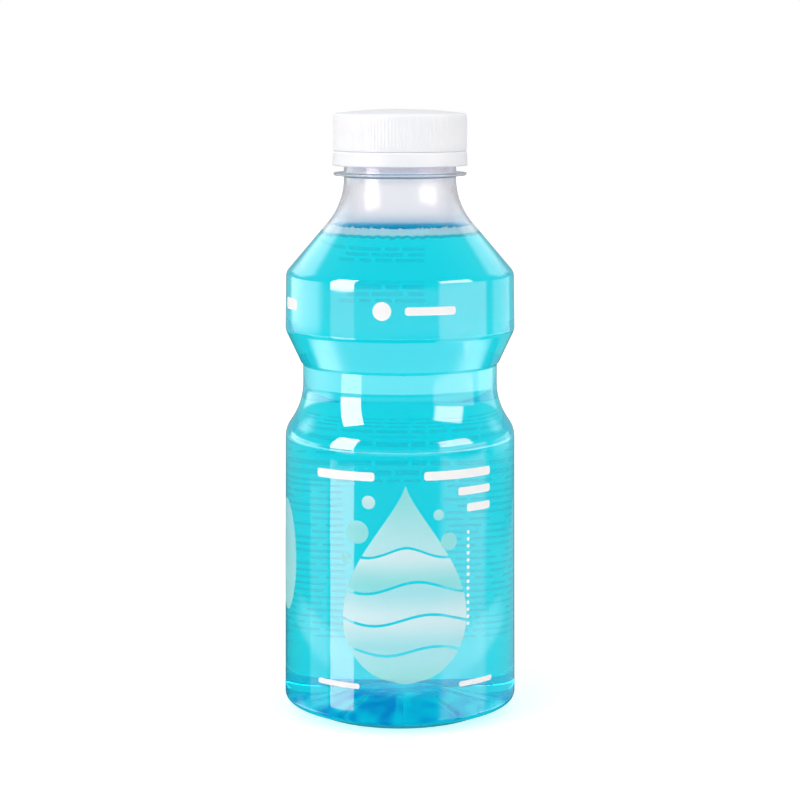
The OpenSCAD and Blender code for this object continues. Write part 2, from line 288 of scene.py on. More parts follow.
def flat_disc(mesh, x, z, half_w, half_h, rings=14, steps=72):
    """A full disc in rings, so that it can follow the wall."""
    disc = bmesh.new()
    spoke = [disc.verts.new((k / rings, 0, 0)) for k in range(rings + 1)]
    edges = [disc.edges.new(spoke[k:k + 2]) for k in range(rings)]
    bmesh.ops.spin(disc, geom=spoke + edges, cent=(0, 0, 0), axis=(0, 1, 0), angle=FULL,
                   steps=steps, use_merge=True, use_duplicate=False)
    bmesh.ops.remove_doubles(disc, verts=disc.verts, dist=MERGE)
    bmesh.ops.scale(disc, verts=disc.verts, vec=(half_w, 1, half_h))
    bmesh.ops.translate(disc, verts=disc.verts, vec=(x, 0, z))
    stamp(mesh, disc)


def wave(level, rise, phase, shift):
    """Height of a wavy line along its way from 0 to 1."""
    return lambda along: level + shift + rise * math.sin(FULL * along * 1.1 + phase)


def flat_band(mesh, middle, half_width, ends, lower, upper):
    """A band between two wavy lines and the motif's ends, as wide at each height as half_width says."""
    band = bmesh.new()
    bmesh.ops.create_grid(band, x_segments=56, y_segments=8, size=0.5)
    for v in band.verts:
        along, across = v.co.x + 0.5, v.co.y + 0.5
        z = lower(along) + (upper(along) - lower(along)) * across
        z = max(ends[0], min(ends[1], z))
        v.co = (middle + half_width(z) * (2 * along - 1), 0, z)
    bmesh.ops.remove_doubles(band, verts=band.verts, dist=MERGE)
    stamp(mesh, band)


# Steps that the finishes share


def new_material(name):
    material = bpy.data.materials.new(name)
    material.use_nodes = True
    return material, material.node_tree, material.node_tree.nodes["Principled BSDF"]


def new_nodes(tree, *kinds):
    return [tree.nodes.new(kind) for kind in kinds]


def put(node, values):
    """Sets a node's sockets by name."""
    for name, value in values.items():
        node.inputs[name].default_value = value


def map_range(tree, source, span, ends=(0.0, 1.0), smooth=False):
    """Carries a value's way through a span over to a way between two ends."""
    node = tree.nodes.new("ShaderNodeMapRange")
    if smooth:
        node.interpolation_type = "SMOOTHSTEP"
    put(node, {"From Min": span[0], "From Max": span[1], "To Min": ends[0], "To Max": ends[1]})
    tree.links.new(source, node.inputs["Value"])
    return node.outputs["Result"]


def reckon(tree, operation, *terms):
    """One sum; each term is a socket or a plain number."""
    node = tree.nodes.new("ShaderNodeMath")
    node.operation = operation
    for socket, term in zip(node.inputs, terms):
        if isinstance(term, (int, float)):
            socket.default_value = term
        else:
            tree.links.new(term, socket)
    return node.outputs["Value"]


def own_place(tree):
    """The piece's own coordinates, whole and one by one."""
    place, split = new_nodes(tree, "ShaderNodeTexCoord", "ShaderNodeSeparateXYZ")
    tree.links.new(place.outputs["Object"], split.inputs["Vector"])
    return place.outputs["Object"], split.outputs


def length_of(tree, vector):
    node = tree.nodes.new("ShaderNodeVectorMath")
    node.operation = "LENGTH"
    tree.links.new(vector, node.inputs[0])
    return node.outputs["Value"]


def cloudy(tree, place, scale, detail=2.0, distortion=0.0):
    """An uneven pattern from 0 to 1."""
    node = tree.nodes.new("ShaderNodeTexNoise")
    put(node, {"Scale": scale, "Detail": detail, "Distortion": distortion})
    tree.links.new(place, node.inputs["Vector"])
    return node.outputs["Fac"]


def blend(tree, share, first, second):
    """A colour between two."""
    node = tree.nodes.new("ShaderNodeMix")
    node.data_type = "RGBA"
    put(node, {"A": (*first, 1), "B": (*second, 1)})
    tree.links.new(share, node.inputs["Factor"])
    return node.outputs["Result"]


def colour_scale(tree, share, stops):
    """A colour for each share; the stops rise from first to last."""
    node = tree.nodes.new("ShaderNodeValToRGB")
    elements = node.color_ramp.elements
    elements[0].position, elements[-1].position = stops[0][0], stops[-1][0]
    for at, _ in stops[1:-1]:
        elements.new(at)
    for element, (_, colour) in zip(elements, stops):
        element.color = (*colour, 1)
    tree.links.new(share, node.inputs["Fac"])
    return node.outputs["Color"]


def show_mixed(tree, share, first, second, output="Material Output"):
    """Shows the first shader, and the second by its share."""
    mix = tree.nodes.new("ShaderNodeMixShader")
    for source, socket in zip((share, first, second), mix.inputs):
        tree.links.new(source, socket)
    tree.links.new(mix.outputs["Shader"], tree.nodes[output].inputs["Surface"])


def waviness_group():
    """Slow unevenness of blown and moulded plastic, as a height."""
    group = bpy.data.node_groups.new("moulded_waviness", "ShaderNodeTree")
    size = group.interface.new_socket(name="Size", in_out="INPUT", socket_type="NodeSocketFloat")
    size.default_value = 60.0
    group.interface.new_socket(name="Height", in_out="OUTPUT", socket_type="NodeSocketFloat")
    into, out, place, noise = new_nodes(
        group, "NodeGroupInput", "NodeGroupOutput", "ShaderNodeTexCoord", "ShaderNodeTexNoise")
    put(noise, {"Detail": 1.5})
    group.links.new(place.outputs["Object"], noise.inputs["Vector"])
    group.links.new(into.outputs["Size"], noise.inputs["Scale"])
    group.links.new(noise.outputs["Fac"], out.inputs["Height"])
    return group


WAVINESS = waviness_group()


def add_waviness(tree, shader, size, distance):
    uneven, bump = new_nodes(tree, "ShaderNodeGroup", "ShaderNodeBump")
    uneven.node_tree = WAVINESS
    put(uneven, {"Size": size})
    put(bump, {"Distance": distance})
    tree.links.new(uneven.outputs["Height"], bump.inputs["Height"])
    tree.links.new(bump.outputs["Normal"], shader.inputs["Normal"])


# Finishes

PET_INDEX = 1.57
LIQUID_INDEX = 1.333
WHITE = (1.0, 1.0, 1.0)
MOST_CROSSINGS = (12, 9)                      # faces that light may cross: low in the base, and above it
HAZE = (147, 150)                             # heights between which the neck turns hazy
SCALE_TOP = 180                               # height where the scale of tones ends
# The heel tone is painted shade: it takes red out of the plastic low down, for the deep blue that the heel
# shows by the way it bends light.
HEEL_PAINTED_SHADE_TONE, BLOWN_TONE, NECK_TONE = (0.8, 0.95, 0.985), (0.965, 0.968, 0.985), (0.948, 0.962, 0.992)
# The band's shade tone is painted shade: the band's shadow on the neck above the ring, as a darker violet
# tint.
RING_TONE, BAND_PAINTED_SHADE_TONE = (0.93, 0.965, 0.98), (0.81, 0.795, 0.88)
PET_TONES = (
    (0.0, HEEL_PAINTED_SHADE_TONE), (6.0, HEEL_PAINTED_SHADE_TONE), (11.0, BLOWN_TONE), (146.0, BLOWN_TONE), (150.0, NECK_TONE),
    (161.9, NECK_TONE), (162.2, RING_TONE), (162.9, RING_TONE), (163.3, BAND_PAINTED_SHADE_TONE), (166.4, BAND_PAINTED_SHADE_TONE),
    (167.4, NECK_TONE), (SCALE_TOP, NECK_TONE),
)


def let_lamps_through(tree, shader, tint):
    """Lamps shine through the piece in its tint. Light that has crossed too many faces goes straight on."""
    path, clear = new_nodes(tree, "ShaderNodeLightPath", "ShaderNodeBsdfTransparent")
    put(clear, {"Color": (*tint, 1)})
    height = own_place(tree)[1]["Z"]
    most = map_range(tree, height, (BASE_TOP * MM, (BASE_TOP + 1) * MM), [n - 0.5 for n in MOST_CROSSINGS])
    from_lamp = reckon(tree, "MAXIMUM", path.outputs["Is Shadow Ray"], path.outputs["Is Diffuse Ray"])
    caught = reckon(tree, "GREATER_THAN", path.outputs["Transmission Depth"], most)
    leaves = reckon(tree, "MAXIMUM", from_lamp, caught)
    show_mixed(tree, leaves, shader.outputs["BSDF"], clear.outputs["BSDF"])


def clear_pet(name, gloss=WHITE, index=PET_INDEX, ripple=(55.0, 0.00006), patches=None):
    """Clear plastic, hazier in the neck. The index is against what touches the face; patches are two tones of
    painted light and shade.
    """
    material, tree, shader = new_material(name)
    place, axes = own_place(tree)
    if patches:
        # Painted light and shade: dark and pale spots by noise.
        share = cloudy(tree, place, 130.0, detail=3.0, distortion=1.0)
        tone = colour_scale(tree, share, ((0.38, patches[0]), (0.62, patches[1])))
    else:
        share = map_range(tree, axes["Z"], (0.0, SCALE_TOP * MM))
        tone = colour_scale(tree, share, [(z / SCALE_TOP, colour) for z, colour in PET_TONES])
    haze = map_range(tree, axes["Z"], (HAZE[0] * MM, HAZE[1] * MM), (0.0, 0.25))
    put(shader, {"IOR": index, "Specular Tint": (*gloss, 1), "Transmission Weight": 1.0})
    tree.links.new(tone, shader.inputs["Base Color"])
    tree.links.new(haze, shader.inputs["Roughness"])
    add_waviness(tree, shader, *ripple)
    let_lamps_through(tree, shader, (0.96, 0.96, 0.98))
    return material


def mouthwash_liquid():
    """Takes the red and some of the green out of the light. The wetted wall does the bending for both."""
    material, tree, shader = new_material("blue_green_mouthwash")
    put(shader, {"Base Color": (1, 1, 1, 1), "Roughness": 0.0, "IOR": 1.0, "Transmission Weight": 1.0})
    depth = tree.nodes.new("ShaderNodeVolumeAbsorption")
    put(depth, {"Color": (0.0, 0.95, 0.975, 1), "Density": 80.0})
    tree.links.new(depth.outputs["Volume"], tree.nodes["Material Output"].inputs["Volume"])
    let_lamps_through(tree, shader, WHITE)
    return material


def white_polypropylene(name, roughness=0.46):
    material, tree, shader = new_material(name)
    put(shader, {"Base Color": (0.935, 0.95, 0.98, 1), "Specular Tint": (0.45, 0.85, 1.0, 1), "IOR": 1.49})
    grain = cloudy(tree, own_place(tree)[0], 900.0, detail=3.0)
    level = map_range(tree, grain, (0.0, 1.0), (roughness - 0.05, roughness + 0.08))
    tree.links.new(level, shader.inputs["Roughness"])
    add_waviness(tree, shader, 240.0, 0.00002)
    return material


def ink(name, low_colour, high_colour, low_z, high_z, low_cover, high_cover):
    """Printed ink whose colour and cover change with height, given in millimetres."""
    material, tree, shader = new_material(name)
    height, span = own_place(tree)[1]["Z"], (low_z * MM, high_z * MM)
    share = map_range(tree, height, span, smooth=True)
    cover = map_range(tree, height, span, (low_cover, high_cover), smooth=True)
    tree.links.new(blend(tree, share, low_colour, high_colour), shader.inputs["Base Color"])
    tree.links.new(cover, shader.inputs["Alpha"])
    put(shader, {"Roughness": 0.42, "Specular IOR Level": 0.2})
    return material


def label_film():
    material, _, shader = new_material("clear_label_film")
    put(shader, {"Base Color": (0.9, 0.98, 0.98, 1), "Roughness": 0.12, "Alpha": 0.015})
    return material


def surface_material():
    """Deep blue of the liquid seen from above, a little uneven."""
    material, tree, shader = new_material("mouthwash_from_above")
    tone = blend(tree, cloudy(tree, own_place(tree)[0], 90.0), (0.0, 0.48, 0.82), (0.004, 0.60, 0.88))
    tree.links.new(tone, shader.inputs["Base Color"])
    put(shader, {"Roughness": 0.5, "IOR": 1.0})
    return material


def foam_material():
    material, _, shader = new_material("fine_foam")
    put(shader, {"Base Color": (0.66, 0.88, 0.94, 1), "Roughness": 0.3, "Specular IOR Level": 0.2,
                 "Alpha": 0.6})
    return material


WETTED = {"gloss": (0.5, 0.5, 0.5), "index": PET_INDEX / LIQUID_INDEX}
PET = clear_pet("clear_pet")
WET_PET = clear_pet("wet_clear_pet", **WETTED)
INNER_PET = clear_pet("inner_clear_pet", gloss=(0.02, 0.02, 0.02))
NECK_PET = clear_pet("neck_clear_pet", gloss=(0.62, 0.92, 1.0))
# The wet base's patches are painted light and shade: dark blue spots and paler ones, like those the push-up
# throws as it bends light.
BASE_PET = clear_pet("wet_base_pet", ripple=(150.0, 0.0004),
                     patches=((0.16, 0.42, 0.80), (0.62, 0.92, 0.98)), **WETTED)
LIQUID = mouthwash_liquid()
CAP_PP = white_polypropylene("cap_polypropylene")
BAND_PP = white_polypropylene("band_polypropylene", roughness=0.4)
FILM = label_film()
WHITE_INK = ink("white_ink", (0.98, 0.99, 0.99), (0.98, 0.99, 0.99), 10, 130, 0.97, 0.97)
BACK_INK = ink("thin_back_ink", (0.70, 0.92, 0.94), (0.70, 0.92, 0.94), 10, 130, 0.24, 0.24)
FOAM = foam_material()
FOAM_FILM = ink("foam_film_white", (0.45, 0.80, 0.90), (0.62, 0.86, 0.93), 144, 146.4, 0.35, 0.55)
# Painted shade: dark teal for the shaded, scalloped line below the foam.
PAINTED_FOAM_SHADE = ink("foam_edge_painted_shade", (0.0, 0.28, 0.40), (0.0, 0.34, 0.46), 143, 145, 0.55, 0.55)
SURFACE = surface_material()


# Shell and liquid

INSIDE = moved_in(OUTSIDE, thicknesses())


def shell_outside():
    """Outside corners with the support ring and the bead in the neck's line."""
    ring = [(NECK_R, RING[0] - 0.5, 0.2), (NECK_R + 0.5, RING[0], 0.2), (RING_R, RING[0], 0.3),
            (RING_R, RING[1], 0.3), (NECK_R, RING[1], 0.2)]
    bead = [(NECK_R, BEAD[0], 0.1), (BEAD_R, BEAD[0], 0.15), (BEAD_R, BEAD[0] + 0.4, 0.15),
            (NECK_R, BEAD[1], 0.1)]
    return OUTSIDE[:NECK_FOOT + 1] + ring + bead + OUTSIDE[NECK_FOOT + 1:]


def press_ribs(mesh):
    """Presses the outer skin of the push-up down along the ribs."""
    start, end = RIB_ENDS
    sector = FULL / RIBS
    top = PUSH_UP[1] + 0.05
    for v in mesh.verts:
        r = math.hypot(v.co.x, v.co.y)
        slope = max(0, r - PUSH_UP[0]) * PUSH_UP[1] / (STAND_R - PUSH_UP[0])
        if not start < r < end or v.co.z >= min(top, top - slope + 0.35):
            continue
        angle = math.atan2(v.co.y, v.co.x) % sector
        off = min(angle, sector - angle) * r
        rib = max(0.0, 1 - (off / RIB_HALF_WIDTH) ** 2) ** 1.5
        ends = min(1, r - start, (end - r) / 1.5)
        v.co.z -= RIB_DEPTH * rib * ends


def make_shell():
    mouth = [(NECK_R - NECK_WALL, RIM_Z, 0.3)]
    mesh = turned(shell_outside()[:-1] + mouth + INSIDE[-2::-1])
    press_ribs(mesh)
    mesh.normal_update()
    finishes = (PET, WET_PET, INNER_PET, NECK_PET, BASE_PET)
    plain, wetted, inner, neck, wetted_base = range(len(finishes))
    for face in mesh.faces:
        middle = face.calc_center_median()
        in_base = middle.z < BASE_TOP and math.hypot(middle.x, middle.y) < BASE_R
        outward = face.normal.x * middle.x + face.normal.y * middle.y
        faces_in = face.normal.z > 0 if in_base else outward < 0
        if faces_in and middle.z < RING[0]:
            face.material_index = wetted_base if in_base else wetted if middle.z < FILL_Z else inner
        else:
            face.material_index = neck if middle.z > NECK_FINISH_Z else plain
    new_piece("bottle_shell", mesh, finishes, "bottle_body", replaces="bottle")


def liquid_line(edge_r, lift=0.0):
    """The liquid's top, from its climb up the wall to the middle."""
    z = FILL_Z + lift
    return [(edge_r, z + CLIMB, 0), (edge_r - CLIMB_WIDTH * 0.35, z + CLIMB * 0.3, 1.2),
            (edge_r - CLIMB_WIDTH, z, 2.5), (0, z, 0)]


def make_liquid():
    """Fills the shell up to its line and runs a little into the wall, so that no air shows between."""
    soaked = moved_in(OUTSIDE, thicknesses(less=SOAK))
    mesh = turned(soaked[:DRUM_END + 1] + liquid_line(shoulder_r(soaked, FILL_Z + CLIMB)))
    new_piece("mouthwash_fill", mesh, LIQUID, "bottle_body", replaces="mouthwash")


def make_surface():
    """The liquid's top, where one looks down into its whole depth."""
    edge_r = shoulder_r(INSIDE, FILL_Z + CLIMB) - 0.1
    mesh = turned(liquid_line(edge_r, lift=0.06)[::-1], steps=96)
    new_piece("mouthwash_surface", mesh, SURFACE, "bottle_body")


make_shell()
make_liquid()
make_surface()


# Closure


def ridge(mesh, wall_r, crest_r, z, start):
    """One thread ridge: a section carried round the neck while it climbs; its ends sink into the wall."""
    steps, run_out, foot, crest = 44, 20, 0.8, 0.4
    way = 1 if crest_r > wall_r else -1
    foot_r = wall_r - way * 0.2
    section = [(foot_r, -foot), (crest_r, -crest), (crest_r, crest), (foot_r, foot)]
    verts = [mesh.verts.new((r, 0, z + h)) for r, h in section]
    ring = [mesh.edges.new((verts[k], verts[(k + 1) % 4])) for k in range(4)]
    mesh.faces.new(verts)
    bmesh.ops.rotate(mesh, verts=verts, cent=(0, 0, 0), matrix=Matrix.Rotation(math.radians(start), 3, "Z"))
    known = set(mesh.verts) - set(verts)
    made = bmesh.ops.spin(mesh, geom=verts + ring, cent=(0, 0, 0), axis=(0, 0, 1),
                          angle=math.radians(THREAD_TURN), steps=steps,
                          dvec=(0, 0, LEAD * THREAD_TURN / 360 / steps), use_merge=False, use_duplicate=False)
    mesh.faces.new([v for v in made["geom_last"] if isinstance(v, bmesh.types.BMVert)])
    for v in set(mesh.verts) - known:
        angle = (math.degrees(math.atan2(v.co.y, v.co.x)) - start) % 360
        fade = max(0.0, min(1, angle / run_out, (THREAD_TURN - angle) / run_out))
        r = math.hypot(v.co.x, v.co.y)
        if way * (r - wall_r) > 0:
            move_out(v, r, wall_r - way * 0.1 + (r - wall_r + way * 0.1) * fade)


def make_threads(name, wall_r, crest_r, z, material, body):
    mesh = bmesh.new()
    for k in range(THREADS):
        ridge(mesh, wall_r, crest_r, z, 5 + 360 / THREADS * k)
    bmesh.ops.recalc_face_normals(mesh, faces=mesh.faces)
    new_piece(name, mesh, material, body, smooth=False)


def make_cap():
    """Cap with a crowned top and fine ribs on its skirt."""
    root_r = CAP_R - KNURL_DEPTH
    crown, rise = 6, CAP_TOP_Z - CAP_EDGE_Z
    corners = [(0, CAP_TOP_Z, 0)]
    corners += [(root_r * k / crown, CAP_TOP_Z - rise * (k / crown) ** 2, 6) for k in range(1, crown)]
    corners += [
        (root_r, CAP_EDGE_Z, 1.0), (root_r, SKIRT_Z, 0.15), (CAP_BORE_R, SKIRT_Z, 0.1),
        (CAP_BORE_R, RIM_Z - LINER_LIP, 0), (CAP_BORE_R - LINER_LIP, RIM_Z, 0.1), (CAP_BORE_R, RIM_Z, 0.1),
        (CAP_BORE_R, PLATE_Z, 0.3), (0, PLATE_Z, 0),
    ]
    mesh = turned(corners, arc_steps=6, longest=1.2, steps=KNURLS * 6, sectors=24)
    low, high = SKIRT_Z + 0.7, CAP_EDGE_Z - 1.0
    groove, flank = 0.14, 0.2
    for v in mesh.verts:
        r = math.hypot(v.co.x, v.co.y)
        if r < root_r - 0.05 or not low - 0.1 < v.co.z < high + 0.1:
            continue
        share = (math.atan2(v.co.y, v.co.x) / FULL * KNURLS) % 1
        top = max(0.0, min(1.0, (0.5 - abs(share - 0.5) - groove) / flank))
        ends = max(0.0, min(1.0, (v.co.z - low) / 0.3, (high - v.co.z) / 0.5))
        move_out(v, r, r + KNURL_DEPTH * top * ends)
    new_piece("ribbed_screw_cap", mesh, CAP_PP, "cap", replaces="screw_cap")


def make_band():
    """Plain ring below the cap, with folded flaps that catch under the bead and the stubs of its bridges."""
    low, top = BAND
    flare_r = CAP_R + 0.2
    mesh = turned([
        (CAP_BORE_R, top, 0.1), (CAP_R - 0.3, top, 0.15), (CAP_R, top - 0.5, 0.3),
        (flare_r, low + 0.25, 0.25), (flare_r - 0.25, low, 0.1), (CAP_BORE_R - 0.5, low, 0.1),
        (FLAP_R, FLAP[0], 0.1), (FLAP_R, FLAP[1], 0.1), (FLAP_R + 0.5, FLAP[1], 0.1),
        (CAP_BORE_R, low + 0.9, 0.1), (CAP_BORE_R, top, 0),
    ], arc_steps=5, longest=1.0, steps=180)
    for k in range(BRIDGES):
        made = bmesh.ops.create_cube(mesh, size=1)["verts"]
        bmesh.ops.scale(mesh, verts=made, vec=(1.1, 0.8, 0.3))
        bmesh.ops.translate(mesh, verts=made, vec=(CAP_BORE_R + 0.75, 0, top - 0.08))
        bmesh.ops.rotate(mesh, verts=made, cent=(0, 0, 0), matrix=Matrix.Rotation(FULL * k / BRIDGES, 3, "Z"))
    new_piece("tamper_band_ring", mesh, BAND_PP, "band", replaces="tamper_band")


def dress_liner():
    """The liner keeps its own shape and takes a foamed finish."""
    material, tree, shader = new_material("liner_foam")
    put(shader, {"Base Color": (0.9, 0.92, 0.94, 1), "Roughness": 0.6})
    add_waviness(tree, shader, 2600.0, 0.00004)
    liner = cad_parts["cap_liner"]
    liner.data.materials.clear()
    liner.data.materials.append(material)


make_threads("neck_threads", NECK_R, NECK_R + THREAD_DEPTH, NECK_THREAD_Z, PET,
             "bottle_body")
make_cap()
make_threads("cap_threads", CAP_BORE_R, CAP_BORE_R - THREAD_DEPTH, CAP_THREAD_Z, CAP_PP,
             "cap")
make_band()
dress_liner()


# Labels: clear films with plain generic print


def make_film(name, radius, ends, replaces):
    """A clear film round the bottle, open at its seam behind."""
    mesh = bmesh.new()
    foot_r = radius(ends[0])
    grid = bmesh.ops.create_grid(mesh, x_segments=180, y_segments=12, size=0.5)["verts"]
    stand_up(mesh, grid, FULL * foot_r - FILM_SEAM, ends[1] - ends[0], 0, (ends[0] + ends[1]) / 2)
    for v in mesh.verts:
        angle = v.co.x / foot_r + FILM_SEAM_ANGLE + math.pi
        r = radius(v.co.z) + FILM_LIFT
        v.co = (r * math.sin(angle), -r * math.cos(angle), v.co.z)
    bmesh.ops.recalc_face_normals(mesh, faces=mesh.faces)
    new_piece(name, mesh, FILM, "bottle_body", replaces=replaces)


def print_sheet(name, mesh, material):
    """A thin sheet round the bottle, with its face outwards."""
    mesh.normal_update()
    for face in mesh.faces:
        middle = face.calc_center_median()
        if face.normal.dot(Vector((middle.x, middle.y, 0))) < 0:
            face.normal_flip()
    new_piece(name, mesh, material, "bottle_body")


def body_print(name, mesh, material, lift):
    wrap(mesh, body_r, lift)
    print_sheet(name, mesh, material)


def drum_print(name, mesh, material):
    wrap(mesh, drum_r, DRUM_LIFT)
    print_sheet(name, mesh, material)


def make_motif():
    """Generic motif on the front: a drop of soft waves with bubbles round it, and one patch at the side."""
    pale, mint, sea = (0.80, 0.93, 0.95), (0.44, 0.83, 0.78), (0.60, 0.88, 0.90)
    middle, gap = 1.6, 0.4
    foot_z, round_z, tip_z, round_r = 15.8, 34.8, 74.5, 19.0

    def drop_half(z):
        if z < round_z:
            return math.sqrt(max(0.0, round_r ** 2 - (round_z - z) ** 2))
        share = min(1.0, (z - round_z) / (tip_z - round_z))
        return round_r * max(0.0, math.cos(share * math.pi / 2)) ** 1.3

    lines = ((foot_z, 0, 0), (25.4, 1.3, 2.6), (34.6, 1.7, 3.1), (44.2, 1.9, 3.7), (54.6, 1.6, 4.3),
             (tip_z, 0, 0))
    tones = ((mint, sea, 0.74, 0.66), (sea, pale, 0.58, 0.80), (pale, sea, 0.80, 0.62),
             (mint, pale, 0.60, 0.82), (sea, mint, 0.78, 0.62))
    for k, (low_ink, high_ink, low_cover, high_cover) in enumerate(tones):
        low, high = lines[k], lines[k + 1]
        lower, upper = wave(*low, gap if k else 0), wave(*high, -gap if high[0] < tip_z else 0)
        mesh = bmesh.new()
        flat_band(mesh, middle, drop_half, (foot_z, tip_z), lower, upper)
        finish = ink(f"print_wave_{k + 1}_ink", low_ink, high_ink, low[0], high[0], low_cover, high_cover)
        body_print(f"print_wave_{k + 1}", mesh, finish, WAVE_LIFT)
    bubbles, side = bmesh.new(), bmesh.new()
    for x, z, r in ((-12.6, 60.5, 3.4), (-9.2, 69.4, 2.0), (14.6, 57.6, 2.6), (11.4, 65.6, 1.6),
                    (-16.2, 52.6, 1.5)):
        flat_disc(bubbles, x, z, r, r, rings=5, steps=48)
    flat_disc(side, -46.5, 49.0, 8.6, 17.0)
    finish = ink("print_bubbles_ink", mint, pale, 60, 74, 0.62, 0.8)
    body_print("print_bubbles", bubbles, finish, BUBBLE_LIFT)
    finish = ink("print_side_ink", mint, sea, 31, 67, 0.75, 0.55)
    body_print("print_side_patch", side, finish, WAVE_LIFT)


def print_row(mesh, rows, start, end, z, height):
    """One row of uneven dashes."""
    x = start
    while x < end - 1.5:
        length = rows.uniform(*DASH)
        flat_bar(mesh, x, min(end, x + length), z, z + height, rounding=0.25, step=1.6)
        x += length + rows.uniform(*DASH_GAP)


def make_bars():
    """Plain bars, squares and rows of dashes, in front and behind."""
    rows = random.Random(5)
    behind, pitch = math.pi * HEEL[0], 2.1
    front, back, drum_back, drum = (bmesh.new() for _ in range(4))
    for x0, x1, z0, z1 in (
        (-26.5, -7.4, 75.6, 78.2),
        (7.0, 29.8, 75.8, 78.4), (17.6, 29.8, 70.8, 73.2), (20.6, 29.8, 65.8, 68.2),
        (-26.5, -12.0, 13.8, 15.4), (18.0, 31.0, 13.8, 15.4),
    ):
        flat_bar(front, x0, x1, z0, z1, rounding=0.8)
    for k in range(14):
        flat_bar(front, 20.6, 21.6, 32.0 + pitch * k, 33.0 + pitch * k, rounding=0.3)
    for k in range(24):
        for start, end in ((behind - 17.0, behind - 8.5), (behind + 8.0, behind + 16.0)):
            print_row(back, rows, start, end, 16.0 + pitch * k, 0.8)
    for z, height in ((66.0, 0.8), (68.2, 1.5), (71.2, 1.5), (74.6, 0.8), (76.8, 0.8), (79.0, 0.8)):
        print_row(back, rows, behind - 19.0, behind + 19.0, z, height)
    for z in (122.0, 124.0, 126.0):
        print_row(drum_back, rows, behind - 7.0, behind + 7.0, z, 1.1)
    flat_disc(drum, -5.2, 124.8, 2.7, 2.7, rings=4, steps=40)
    flat_bar(drum, 1.4, 16.6, 123.6, 126.0, rounding=0.9)
    flat_bar(drum, -46.0, -36.5, 123.2, 126.6, rounding=1.2)
    body_print("print_bars_front", front, WHITE_INK, BAR_LIFT)
    body_print("print_rows_back", back, BACK_INK, BAR_LIFT)
    drum_print("print_rows_drum", drum_back, BACK_INK)
    drum_print("print_marks_drum", drum, WHITE_INK)


make_film("body_label_film", body_r, BODY_FILM, "body_label")
make_film("drum_label_film", drum_r, DRUM_FILM, "drum_label")
make_motif()
make_bars()


# Foam along the liquid's edge, and painted shade below it


def make_foam(count):
    """Small bubbles against the wall, most of them in one row at the liquid's edge."""
    bubbles = random.Random(11)
    sizes = (0.22, 0.3, 0.38, 0.5)
    mesh = bmesh.new()
    for k in range(count):
        angle = FULL * (k + bubbles.uniform(-0.4, 0.4)) / count
        size = bubbles.choice(sizes) * bubbles.uniform(0.85, 1.15)
        z = FILL_Z + bubbles.uniform(-1.3, 0.6)
        r = shoulder_r(INSIDE, z) - size - 0.06 - 0.5 * bubbles.random() ** 2
        bubble = bmesh.new()
        bmesh.ops.create_uvsphere(bubble, u_segments=8, v_segments=6, radius=size)
        bmesh.ops.translate(bubble, verts=bubble.verts, vec=(r * math.sin(angle), -r * math.cos(angle), z))
        stamp(mesh, bubble)
    new_piece("foam_ring", mesh, FOAM, "bottle_body")


def make_foam_sheet(name, material, top, foot, depth, gap):
    """A thin ring on the wall with a scalloped lower edge: the finest foam, or the painted shade line below
    it.
    """
    scallops = random.Random(3)
    waves = [(scallops.uniform(0.5, 1.0) * depth, scallops.randint(20, 75), scallops.uniform(0, FULL))
             for _ in range(3)]
    mesh = bmesh.new()
    bmesh.ops.create_grid(mesh, x_segments=600, y_segments=2, size=0.5)
    for v in mesh.verts:
        angle, across = v.co.x * FULL, v.co.y + 0.5
        low = foot - sum(high * abs(math.sin(count * angle / 2 + phase)) for high, count, phase in waves)
        z = low + (top - low) * across
        r = shoulder_r(INSIDE, z) - gap
        v.co = (r * math.sin(angle), -r * math.cos(angle), z)
    bmesh.ops.remove_doubles(mesh, verts=mesh.verts, dist=MERGE)
    print_sheet(name, mesh, material)


FOAM_FOOT = FILL_Z - 1.1
make_foam(640)
make_foam_sheet("foam_film", FOAM_FILM, FILL_Z + 0.5, FOAM_FOOT, 0.2, 0.04)
# A dark sheet below the foam: painted shade.
make_foam_sheet("foam_edge_painted_shade_line", PAINTED_FOAM_SHADE, FOAM_FOOT, FILL_Z - 1.75, 0.3, 0.06)


# Table, light and camera


def stage_piece(name, mesh, material, place, turn=(0, 0, 0)):
    data = bpy.data.meshes.new(name)
    mesh.to_mesh(data)
    mesh.free()
    data.materials.append(material)
    piece = bpy.data.objects.new(name, data)
    piece.location, piece.rotation_euler = place, turn
    bpy.context.scene.collection.objects.link(piece)
    return piece


def stage_plane(name, size, place, turn, material):
    mesh = bmesh.new()
    bmesh.ops.create_grid(mesh, x_segments=1, y_segments=1, size=0.5)
    bmesh.ops.scale(mesh, verts=mesh.verts, vec=(*size, 1))
    return stage_piece(name, mesh, material, place, turn)


def table_finish():
    """White table that keeps the object's shadow. Glass shows it plain white, with a painted blue shadow under
    the base.
    """
    material, tree, shader = new_material("white_table")
    put(shader, {"Roughness": 0.6, "Base Color": (0.8, 0.8, 0.8, 1), "Emission Color": (1, 1, 1, 1)})
    path, plain = new_nodes(tree, "ShaderNodeLightPath", "ShaderNodeEmission")
    distance = length_of(tree, own_place(tree)[0])
    far = map_range(tree, distance, (0.10, 0.45), (0.45, 0.7), smooth=True)
    to_eye = reckon(tree, "MULTIPLY", path.outputs["Is Camera Ray"], far)
    tree.links.new(to_eye, shader.inputs["Emission Strength"])
    # Painted shadow: through glass the table shows blue under the base, for the bottle's coloured shadow
    # there.
    under = map_range(tree, distance, (0.029, 0.042), smooth=True)
    put(plain, {"Strength": 0.97})
    tree.links.new(blend(tree, under, (0.03, 0.84, 0.96), WHITE), plain.inputs["Color"])
    show_mixed(tree, path.outputs["Is Transmission Ray"], shader.outputs["BSDF"], plain.outputs["Emission"])
    return material


